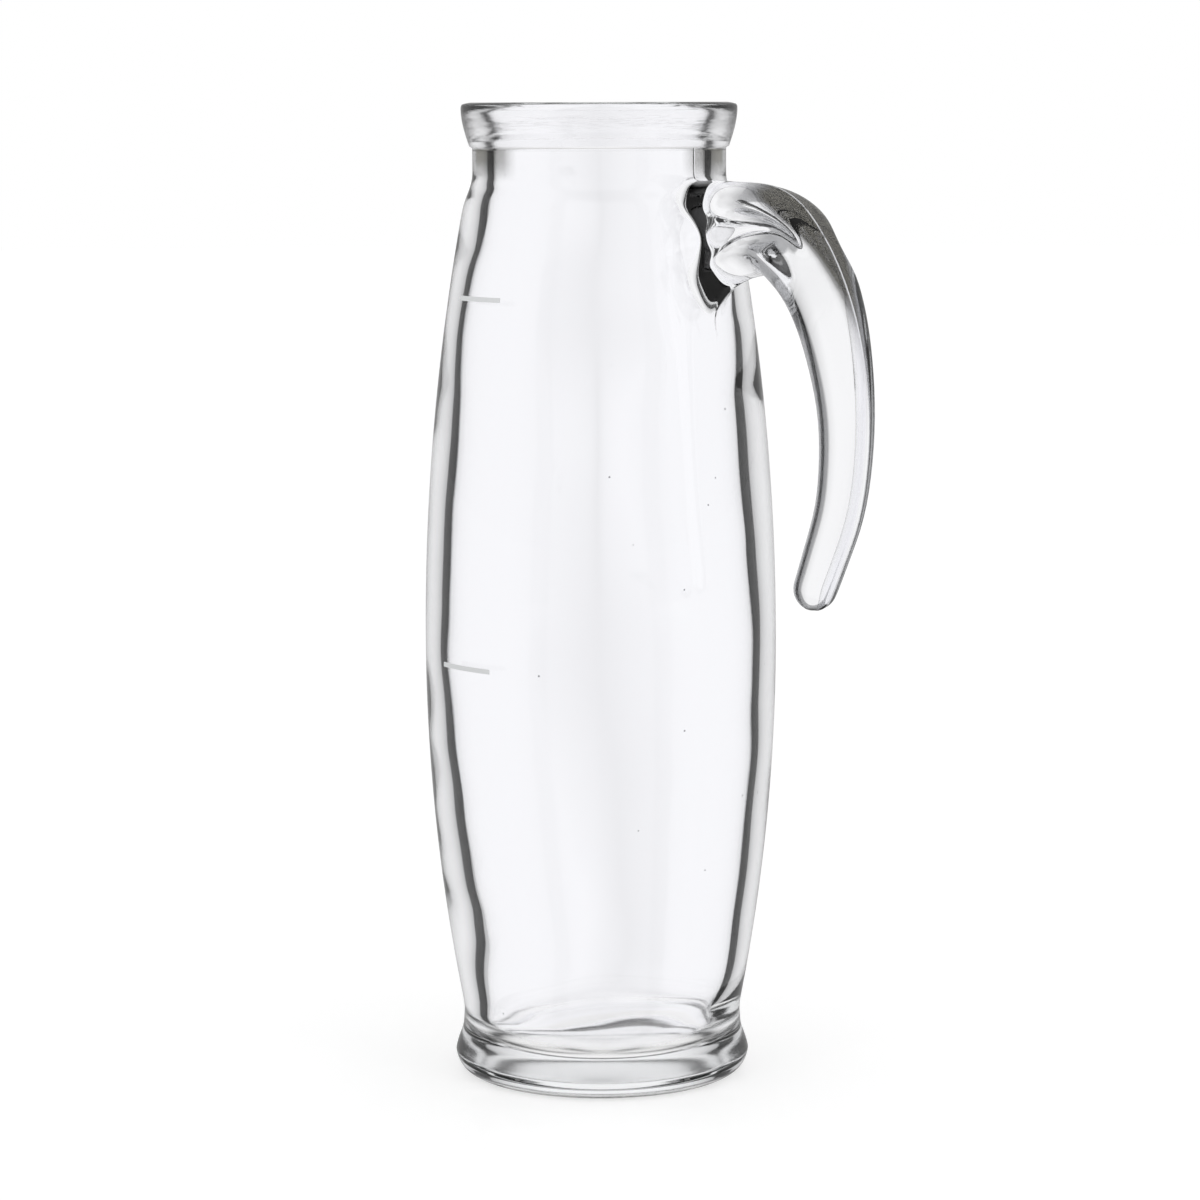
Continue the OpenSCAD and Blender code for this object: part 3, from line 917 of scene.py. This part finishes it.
glass.data.materials.append(clear_glass())
enamel = fired_print()
for name in ("fill_line_half_litre", "fill_line_one_litre"):
    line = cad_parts[name]
    line.data.materials.clear()
    line.data.materials.append(enamel)


# The studio floor, in metres. Its lift brightens it to the camera, and its polish reflects the carafe
# faintly
STUDIO_R = 6.0
STUDIO_SIDES = 96
STUDIO_LEVEL = 0.56
STUDIO_ROUGHNESS = 0.8
STUDIO_LIFT = 0.6
STUDIO_POLISH = 0.05
POLISH_ROUGHNESS = 0.12


def mix_shaders(tree, share, low, high):
    """A Mix Shader node between two shaders' outputs."""
    made = node(tree, "ShaderNodeMixShader")
    for socket, value in zip(made.inputs, (share, low, high)):
        feed(tree, socket, value)
    return made.outputs[0]


def studio_floor():
    """A white floor. Behind glass the white surroundings stand in for it, which hides its edge there."""
    only()
    bpy.ops.mesh.primitive_circle_add(vertices=STUDIO_SIDES, radius=STUDIO_R, fill_type="NGON")
    obj = bpy.context.object
    obj.name = "studio_floor"
    material, tree, shader, output = new_material("white_floor")
    path = node(tree, "ShaderNodeLightPath")
    shader.inputs["Base Color"].default_value = grey(STUDIO_LEVEL)
    shader.inputs["Roughness"].default_value = STUDIO_ROUGHNESS
    shader.inputs["Specular IOR Level"].default_value = 0.0
    shader.inputs["Emission Color"].default_value = grey(1)
    lift = times(tree, path.outputs["Is Camera Ray"], STUDIO_LIFT)
    tree.links.new(lift, shader.inputs["Emission Strength"])
    polish = node(tree, "ShaderNodeBsdfAnisotropic")
    polish.inputs["Color"].default_value = grey(1)
    polish.inputs["Roughness"].default_value = POLISH_ROUGHNESS
    clear = node(tree, "ShaderNodeBsdfTransparent")
    polished = mix_shaders(tree, STUDIO_POLISH, shader.outputs[0], polish.outputs[0])
    surface = mix_shaders(tree, path.outputs["Is Transmission Ray"], polished, clear.outputs[0])
    tree.links.new(surface, output.inputs["Surface"])
    obj.data.materials.append(material)


# Levels of the surroundings, as a light and in reflections
AS_LIGHT = 0.82
IN_REFLECTIONS = 0.38
# A path that has passed fewer surfaces than this has only crossed a solid edge of the glass. One that has
# passed more has gone through the hollow glass
SOLID_EDGE_DEPTH = 2.5
# The least level part of a direction, so that straight up and down have an angle too
LEAST_LEVEL = 0.001
# The dark screens round the glass: how the level rises with the sine of the angle from a screen
SCREEN_STOPS = [
    (0.0, 0.008), (0.105, 0.01), (0.128, 0.46), (0.208, 0.64), (0.26, 0.74), (0.342, 0.84), (0.423, 0.92),
    (0.485, 0.97),
]
SCREEN_TURN = math.radians(2)
# How it falls off above and below: (0 straight down to 1 straight up, level)
HEIGHT_STOPS = [
    (0.0, 0.97), (0.08, 0.98), (0.18, 1.0), (0.26, 1.0), (0.78, 1.0), (0.84, 0.8), (0.88, 0.12),
    (1.0, 0.06),
]
# Through the hollow glass the middle of the background is a little less bright than its sides
MIDDLE_STOPS = [(0.0, 1.0), (0.66, 1.0), (0.69, 0.93), (0.707, 0.88)]


def angle_from_screens(tree, x, y):
    """The sine of the angle round from the nearest screen: 0 towards it, 0.707 midway between two."""
    level = calculate(tree, "SQRT", calculate(tree, "ADD", times(tree, x, x), times(tree, y, y)))
    level = calculate(tree, "MAXIMUM", LEAST_LEVEL, level)
    return calculate(tree, "DIVIDE", calculate(tree, "MINIMUM", x, y), level)


def studio_surroundings():
    """White all round, with four upright dark screens that only show in the solid edges of the glass."""
    world = bpy.data.worlds.new("studio")
    bpy.context.scene.world = world
    world.use_nodes = True
    tree = world.node_tree
    path = node(tree, "ShaderNodeLightPath")
    turn = node(tree, "ShaderNodeVectorRotate", rotation_type="Z_AXIS")
    turn.inputs["Angle"].default_value = SCREEN_TURN
    tree.links.new(node(tree, "ShaderNodeTexCoord").outputs["Generated"], turn.inputs["Vector"])
    axes = node(tree, "ShaderNodeSeparateXYZ")
    tree.links.new(turn.outputs[0], axes.inputs[0])
    x, y = [calculate(tree, "ABSOLUTE", axis) for axis in axes.outputs[:2]]
    off_screen = angle_from_screens(tree, x, y)
    # Straight down is -1 and straight up 1, which become 0 and 1
    up = calculate(tree, "MULTIPLY_ADD", axes.outputs[2], 0.5, 0.5)
    height = ramp(tree, up, HEIGHT_STOPS)
    dark = blend(tree, 1.0, ramp(tree, off_screen, SCREEN_STOPS), height, "MULTIPLY")
    solid = calculate(tree, "LESS_THAN", path.outputs["Transmission Depth"], SOLID_EDGE_DEPTH)
    through = blend(tree, solid, ramp(tree, off_screen, MIDDLE_STOPS), dark)
    light = blend(tree, path.outputs["Is Glossy Ray"], grey(AS_LIGHT), grey(IN_REFLECTIONS))
    around = blend(tree, path.outputs["Is Transmission Ray"], light, through)
    seen = blend(tree, path.outputs["Is Camera Ray"], around, grey(1))
    tree.links.new(seen, tree.nodes["Background"].inputs["Color"])


# Where the softboxes stand and look, in metres from the middle of the carafe's foot
SOFTBOX_DISTANCE = 1.5
SOFTBOX_Z = 0.45
SOFTBOX_AIM = Vector((0, 0, 0.14))


def softbox(name, azimuth, width, height, level):
    """An upright soft lamp that faces the carafe. Its level is the brightness of its face."""
    data = bpy.data.lights.new(name, "AREA")
    data.shape = "RECTANGLE"
    data.size, data.size_y = width, height
    data.energy = level * math.pi * width * height
    lamp = bpy.data.objects.new(name, data)
    bpy.context.scene.collection.objects.link(lamp)
    a = math.radians(azimuth)
    lamp.location = (SOFTBOX_DISTANCE * math.sin(a), -SOFTBOX_DISTANCE * math.cos(a), SOFTBOX_Z)
    lamp.rotation_euler = (SOFTBOX_AIM - lamp.location).to_track_quat("-Z", "Y").to_euler()
    lamp.visible_transmission = False
    lamp.visible_camera = False
    lamp.visible_glossy = False


studio_floor()
studio_surroundings()
softbox("left_softbox", azimuth=3, width=0.30, height=1.3, level=1.6)
softbox("right_softbox", azimuth=89, width=0.60, height=1.3, level=1.4)

# The camera, at the photograph's angle. Picture width, focal length and shift are in the picture's pixels
PICTURE_W = 1200
FOCAL_LENGTH = 3732
SHIFT = -0.7
SENSOR_W = 36
CAMERA_NEAR = 0.01
CAMERA_FAR = 50
CAMERA_AZIMUTH = math.radians(43)
CAMERA_DISTANCE = 1.0215
CAMERA_TILT = math.radians(7.6)
CAMERA_ROLL = math.radians(0.2)
camera_data = bpy.data.cameras.new("camera")
camera = bpy.data.objects.new("camera", camera_data)
bpy.context.scene.collection.objects.link(camera)
camera_data.sensor_width = SENSOR_W
camera_data.lens = FOCAL_LENGTH / PICTURE_W * SENSOR_W
camera_data.shift_x = SHIFT / PICTURE_W
camera_data.clip_start, camera_data.clip_end = CAMERA_NEAR, CAMERA_FAR
back = Vector((math.sin(CAMERA_AZIMUTH), -math.cos(CAMERA_AZIMUTH), 0))
camera.location = back * CAMERA_DISTANCE + Vector((0, 0, BODY_H * MM))
aim = -back * math.cos(CAMERA_TILT) - Vector((0, 0, math.sin(CAMERA_TILT)))
camera.rotation_mode = "QUATERNION"
camera.rotation_quaternion = aim.to_track_quat("-Z", "Y") @ Quaternion((0, 0, 1), -CAMERA_ROLL)
bpy.context.scene.camera = camera
bpy.context.scene.view_settings.view_transform = "Standard"
